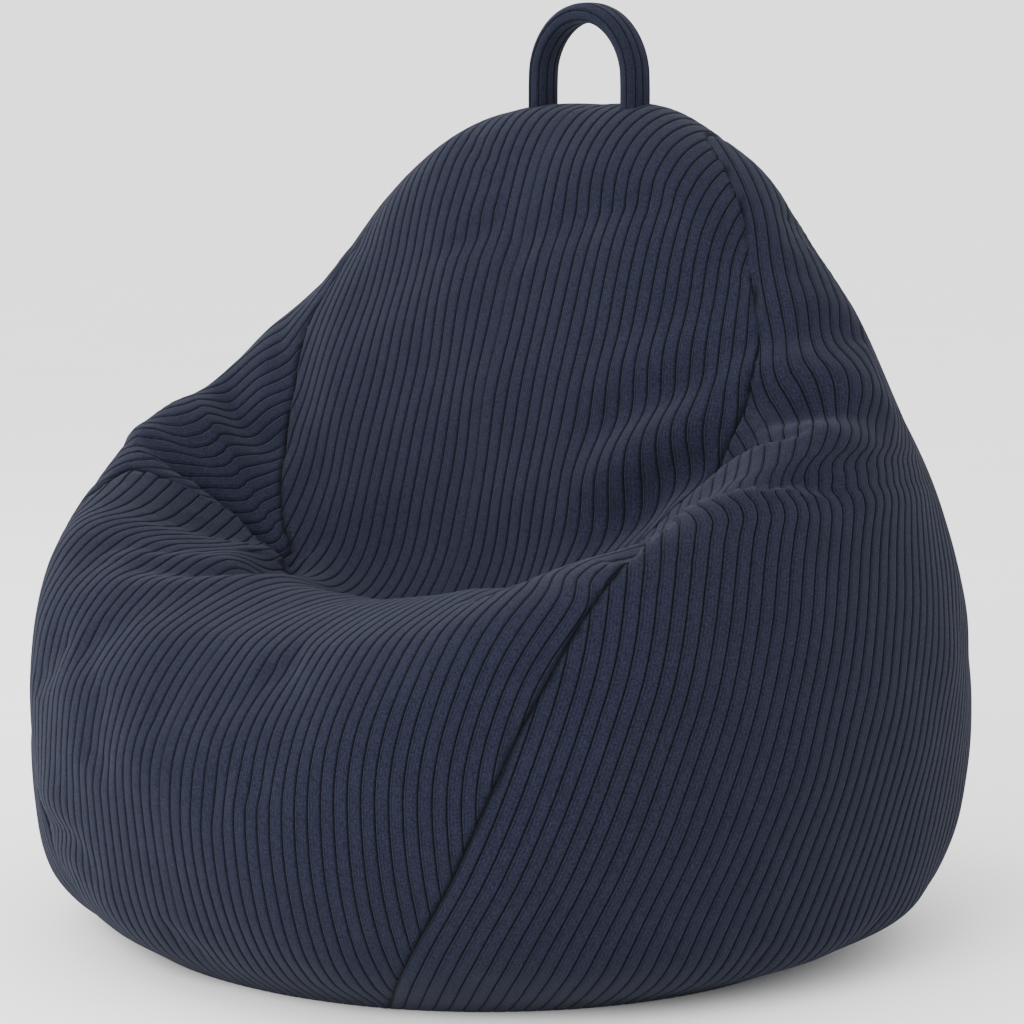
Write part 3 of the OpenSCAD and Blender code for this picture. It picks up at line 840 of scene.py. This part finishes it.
def make_handle():
    x, z, out_x, out_z = loop_path()
    a, b, height, phases = strap_outline()
    size = np.hypot(a, b)
    grow = 1 + (STRAP_GROOVE + STRAP_RIB * height) / size
    a, b = a * grow, b * grow
    points = np.stack(
        [
            x[:, None] + a[None, :] * out_x[:, None],
            np.broadcast_to(LOOP_Y + b[None, :], (len(x), len(b))),
            z[:, None] + a[None, :] * out_z[:, None],
        ],
        axis=-1,
    )
    # The strap's rib height also darkens its grooves in the material: painted shade.
    layers = {"rib": np.tile(height, (len(x), 1)), "across": np.tile(phases, (len(x), 1))}
    return make_mesh("handle_cloth", points, grid_faces(*points.shape[:2]), layers)


# Materials


def new_material(name):
    material = bpy.data.materials.new(name)
    material.use_nodes = True
    nodes = material.node_tree.nodes
    return material, nodes, material.node_tree.links, nodes["Principled BSDF"]


def noise_node(nodes, links, coords, scale, detail, roughness=0.5):
    noise = nodes.new("ShaderNodeTexNoise")
    noise.inputs["Scale"].default_value = scale
    noise.inputs["Detail"].default_value = detail
    noise.inputs["Roughness"].default_value = roughness
    links.new(coords.outputs["Object"], noise.inputs["Vector"])
    return noise


def ramp_node(nodes, links, source, stops):
    ramp = nodes.new("ShaderNodeValToRGB")
    while len(ramp.color_ramp.elements) < len(stops):
        ramp.color_ramp.elements.new(0.5)
    for element, (position, color) in zip(ramp.color_ramp.elements, stops):
        element.position = position
        element.color = (*color, 1)
    links.new(source, ramp.inputs["Fac"])
    return ramp


# Sockets of a mix node that carry colours.
MIX_A, MIX_B, MIX_RESULT = 6, 7, 2


def multiply(nodes, links, a, b):
    mix = nodes.new("ShaderNodeMix")
    mix.data_type = "RGBA"
    mix.blend_type = "MULTIPLY"
    mix.inputs["Factor"].default_value = 1.0
    links.new(a, mix.inputs[MIX_A])
    links.new(b, mix.inputs[MIX_B])
    return mix.outputs[MIX_RESULT]


def add_bump(nodes, links, source, shader, strength, distance, invert=False):
    bump = nodes.new("ShaderNodeBump")
    bump.invert = invert
    bump.inputs["Strength"].default_value = strength
    bump.inputs["Distance"].default_value = distance
    links.new(source, bump.inputs["Height"])
    links.new(bump.outputs["Normal"], shader.inputs["Normal"])


# Colours by rib height: the groove and flank colours are the crown's colour darkened, painted shade in the
# grooves and along the seams, where the ribs sink to groove height.
GROOVE_SHADE_COLOR = (0.0016, 0.0019, 0.0036)
FLANK_SHADE_COLOR = (0.0066, 0.0076, 0.0142)
CROWN_COLOR = (0.0130, 0.0148, 0.0276)
WHITE = (1.0, 1.0, 1.0)
# Brightness across one rib: darker at the groove and along a second, shallower line beside it (painted
# shade of the groove and of a second groove the mesh lacks), and fine thread lines of the weave on the
# crown. The level darkens them all.
RIB_SHADE_AND_THREAD_LEVEL = 0.9
RIB_SHADE_AND_THREADS = [
    (0.0, 0.80), (0.08, 1.08), (0.15, 1.0), (0.19, 0.42), (0.25, 1.0), (0.38, 1.08), (0.44, 0.80),
    (0.50, 1.08), (0.62, 1.08), (0.68, 0.80), (0.74, 1.08), (0.90, 1.0), (1.0, 0.80),
]


def ribbed_fabric():
    material, nodes, links, shader = new_material("ribbed_navy")
    coords = nodes.new("ShaderNodeTexCoord")
    rib = nodes.new("ShaderNodeAttribute")
    rib.attribute_name = "rib"
    # The lower the cloth lies in a rib, the darker it is painted: painted shade in grooves and seams.
    groove_shade_stops = [(0.0, GROOVE_SHADE_COLOR), (0.45, FLANK_SHADE_COLOR), (0.95, CROWN_COLOR)]
    base = ramp_node(nodes, links, rib.outputs["Fac"], groove_shade_stops)
    across = nodes.new("ShaderNodeAttribute")
    across.attribute_name = "across"
    fraction = nodes.new("ShaderNodeMath")
    fraction.operation = "FRACT"
    links.new(across.outputs["Fac"], fraction.inputs[0])
    # The darkening at the groove and beside it is painted shade; the crown's thread lines are the weave.
    levels = [(x, (v * RIB_SHADE_AND_THREAD_LEVEL,) * 3) for x, v in RIB_SHADE_AND_THREADS]
    rib_shade_and_threads = ramp_node(nodes, links, fraction.outputs["Value"], levels)
    nap = noise_node(nodes, links, coords, 560, 4, 0.7)
    patches = noise_node(nodes, links, coords, 26, 3, 0.55)
    nap_ramp = ramp_node(nodes, links, nap.outputs["Fac"], [(0.36, (0.36, 0.36, 0.38)), (0.64, WHITE)])
    patch_ramp = ramp_node(nodes, links, patches.outputs["Fac"], [(0.3, (0.88, 0.88, 0.9)), (0.7, WHITE)])
    color = base.outputs["Color"]
    for layer in (rib_shade_and_threads, nap_ramp, patch_ramp):
        color = multiply(nodes, links, color, layer.outputs["Color"])
    links.new(color, shader.inputs["Base Color"])
    shader.inputs["Roughness"].default_value = 0.92
    shader.inputs["Specular IOR Level"].default_value = 0.05
    shader.inputs["Sheen Weight"].default_value = 0.05
    shader.inputs["Sheen Roughness"].default_value = 0.45
    shader.inputs["Sheen Tint"].default_value = (0.62, 0.68, 0.85, 1)
    add_bump(nodes, links, nap.outputs["Fac"], shader, 0.8, 0.0016)
    return material


def plain_fabric(name, dark, light, scale=900.0):
    material, nodes, links, shader = new_material(name)
    coords = nodes.new("ShaderNodeTexCoord")
    weave = noise_node(nodes, links, coords, scale, 3)
    ramp = ramp_node(nodes, links, weave.outputs["Fac"], [(0.3, dark), (0.7, light)])
    links.new(ramp.outputs["Color"], shader.inputs["Base Color"])
    shader.inputs["Roughness"].default_value = 0.9
    add_bump(nodes, links, weave.outputs["Fac"], shader, 0.4, 0.0006)
    return material


def bead_mass(name, beads_per_metre=260.0):
    material, nodes, links, shader = new_material(name)
    coords = nodes.new("ShaderNodeTexCoord")
    beads = nodes.new("ShaderNodeTexVoronoi")
    beads.inputs["Scale"].default_value = beads_per_metre
    links.new(coords.outputs["Object"], beads.inputs["Vector"])
    # The beads are light at their middles and dark where they meet: painted shade between the beads.
    stops = [(0.25, (0.86, 0.86, 0.85)), (0.8, (0.50, 0.50, 0.49))]
    ramp = ramp_node(nodes, links, beads.outputs["Distance"], stops)
    links.new(ramp.outputs["Color"], shader.inputs["Base Color"])
    shader.inputs["Roughness"].default_value = 0.7
    add_bump(nodes, links, beads.outputs["Distance"], shader, 0.8, 0.0018, invert=True)
    return material


def worn_metal(name):
    material, nodes, links, shader = new_material(name)
    coords = nodes.new("ShaderNodeTexCoord")
    wear = noise_node(nodes, links, coords, 700, 5, 0.6)
    stops = [(0.3, (0.32, 0.32, 0.33)), (0.7, (0.55, 0.55, 0.57))]
    ramp = ramp_node(nodes, links, wear.outputs["Fac"], stops)
    links.new(ramp.outputs["Color"], shader.inputs["Base Color"])
    shader.inputs["Metallic"].default_value = 1.0
    shader.inputs["Roughness"].default_value = 0.34
    return material


RIBBED = ribbed_fabric()
BASE_FABRIC = plain_fabric("base_navy", (0.010, 0.012, 0.019), (0.022, 0.026, 0.040))
ZIP_FABRIC = plain_fabric("zip_navy", (0.008, 0.010, 0.016), (0.020, 0.023, 0.034), 1600.0)
LINER_FABRIC = plain_fabric("liner_white", (0.62, 0.62, 0.60), (0.80, 0.80, 0.78), 500.0)
BEADS = bead_mass("bead_white")
METAL = worn_metal("zip_nickel")


# Pieces. Depths and insets are measured from the cover's surface.

LINER_DEPTH, FILLING_DEPTH = 13.5, 19.0
LINER_INSET, LINER_BOTTOM, LINER_TOP = 16.0, 6.4, 7.4
BASE_INSET, BASE_BOTTOM, BASE_TOP = 2.0, 0.0, 2.0


def finish_piece(obj, material, body, slot, *replaced):
    obj.data.materials.clear()
    obj.data.materials.append(material)
    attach(obj, body)
    if replaced:
        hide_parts(*replaced)


front = make_front_panel()
finish_piece(front, RIBBED, "bag", "ribbed_cover", "front_panel")
right_side = make_side_panel("right_panel_cloth", 1)
finish_piece(right_side, RIBBED, "bag", "ribbed_cover", "right_side_panel")
left_side = make_side_panel("left_panel_cloth", -1)
finish_piece(left_side, RIBBED, "bag", "ribbed_cover", "left_side_panel")

liner_front = make_inner("liner_front_cloth", LINER_DEPTH, -90.0, 90.0)
finish_piece(liner_front, LINER_FABRIC, "bag", "liner_cloth", "liner_front")
liner_back = make_inner("liner_back_cloth", LINER_DEPTH, 90.0, 270.0)
finish_piece(liner_back, LINER_FABRIC, "bag", "liner_cloth", "liner_back")
liner_floor = make_floor_disc("liner_floor_cloth", LINER_INSET, LINER_BOTTOM, LINER_TOP)
finish_piece(liner_floor, LINER_FABRIC, "bag", "liner_cloth", "liner_base")
filling = make_inner("bead_filling", FILLING_DEPTH, 0.0, 360.0)
finish_piece(filling, BEADS, "bag", "beads", "bead_fill")

base = make_floor_disc("base_cloth", BASE_INSET, BASE_BOTTOM, BASE_TOP)
finish_piece(base, BASE_FABRIC, "bag", "base_fabric", "base_panel")

handle = make_handle()
handle.data.materials.append(RIBBED)
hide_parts("handle_strap", "handle_end_left", "handle_end_right")
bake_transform(handle)

# CAD nodes that are shown as they are.
PLAIN_NODES = [
    (BASE_FABRIC, ["handle_core", "handle_patch_left", "handle_patch_right"]),
    (ZIP_FABRIC, ["zip_tape_left", "zip_tape_right", "zip_coil_left", "zip_coil_right"]),
    (METAL, ["zip_stop_low", "zip_stop_high", "zip_slider", "zip_pull", "liner_zip_slider"]),
    (LINER_FABRIC, ["liner_zip_tape", "liner_zip_coil"]),
]
for node_material, node_names in PLAIN_NODES:
    for node_name in node_names:
        node_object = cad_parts[node_name]
        node_object.data.materials.clear()
        node_object.data.materials.append(node_material)


# Stage

FLOOR_HALF = 400.0
LIGHT_TARGET = Vector((0, 0, 0.4))
WORLD_STRENGTH = 2.4


def add_floor():
    side = FLOOR_HALF / MM
    corners = [(-side, -side, 0), (side, -side, 0), (side, side, 0), (-side, side, 0)]
    floor = make_mesh("floor", corners, [[0, 1, 2, 3]])
    material, nodes, links, shader = new_material("floor_white")
    coords = nodes.new("ShaderNodeTexCoord")
    tone = noise_node(nodes, links, coords, 3, 2)
    stops = [(0.3, (0.84, 0.84, 0.84)), (0.7, (0.86, 0.86, 0.86))]
    ramp = ramp_node(nodes, links, tone.outputs["Fac"], stops)
    links.new(ramp.outputs["Color"], shader.inputs["Base Color"])
    shader.inputs["Roughness"].default_value = 0.8
    floor.data.materials.append(material)


def add_area_light(name, azimuth, elevation, distance, size, power):
    """A round light aimed at the bag's middle, with its angles in degrees."""
    a, e = math.radians(azimuth), math.radians(elevation)
    away = Vector((math.sin(a) * math.cos(e), -math.cos(a) * math.cos(e), math.sin(e)))
    data = bpy.data.lights.new(name, "AREA")
    data.shape = "DISK"
    data.size = size
    data.energy = power
    light = bpy.data.objects.new(name, data)
    bpy.context.scene.collection.objects.link(light)
    light.location = LIGHT_TARGET + away * distance
    light.rotation_euler = away.to_track_quat("Z", "Y").to_euler()


def add_lights():
    world = bpy.data.worlds.new("studio")
    world.use_nodes = True
    background = world.node_tree.nodes["Background"]
    background.inputs["Color"].default_value = (1, 1, 1, 1)
    background.inputs["Strength"].default_value = WORLD_STRENGTH
    bpy.context.scene.world = world
    add_area_light("key", 15, 20, 3.4, 2.2, 190)
    add_area_light("top", -20, 80, 3.0, 2.6, 20)
    add_area_light("side", -80, 20, 3.2, 1.8, 46)


add_floor()
add_lights()
